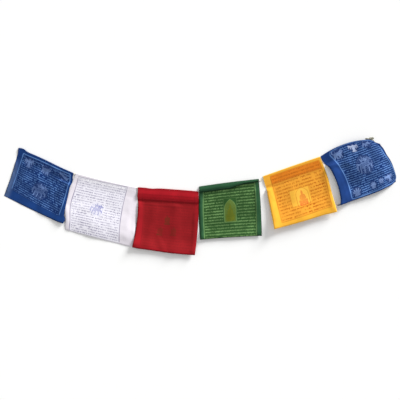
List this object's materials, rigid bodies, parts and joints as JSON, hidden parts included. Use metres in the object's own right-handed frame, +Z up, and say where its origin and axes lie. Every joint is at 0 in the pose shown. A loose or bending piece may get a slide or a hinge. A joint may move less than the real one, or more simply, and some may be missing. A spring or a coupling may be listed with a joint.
{
  "type": "prayer flag string",
  "caption": "Garland of printed cotton prayer flags sewn over a header string, laid out flat along a shallow arc.",
  "frame": {"origin": "on the surface that it lies on, under the middle of the whole string", "axes": "+X to the right along the string, +Y from the flags' lower edges to their tops, +Z up from the surface"},
  "size_m": [0.9186, 0.2758, 0.0131],
  "materials": {
    "blue_flag_left_cotton": "matte printed cotton",
    "white_flag_cotton": "matte printed cotton",
    "red_flag_cotton": "matte printed cotton",
    "green_flag_cotton": "matte printed cotton",
    "yellow_flag_cotton": "matte printed cotton",
    "blue_flag_right_cotton": "matte printed cotton",
    "string_cotton": "matte cotton cord"
  },
  "bodies": {
    "root": {"blue_flag_left": "blue_flag_left_cotton", "white_flag": "white_flag_cotton", "red_flag": "red_flag_cotton", "green_flag": "green_flag_cotton", "yellow_flag": "yellow_flag_cotton", "blue_flag_right": "blue_flag_right_cotton", "header_string": "string_cotton"}
  },
  "joints": []
}
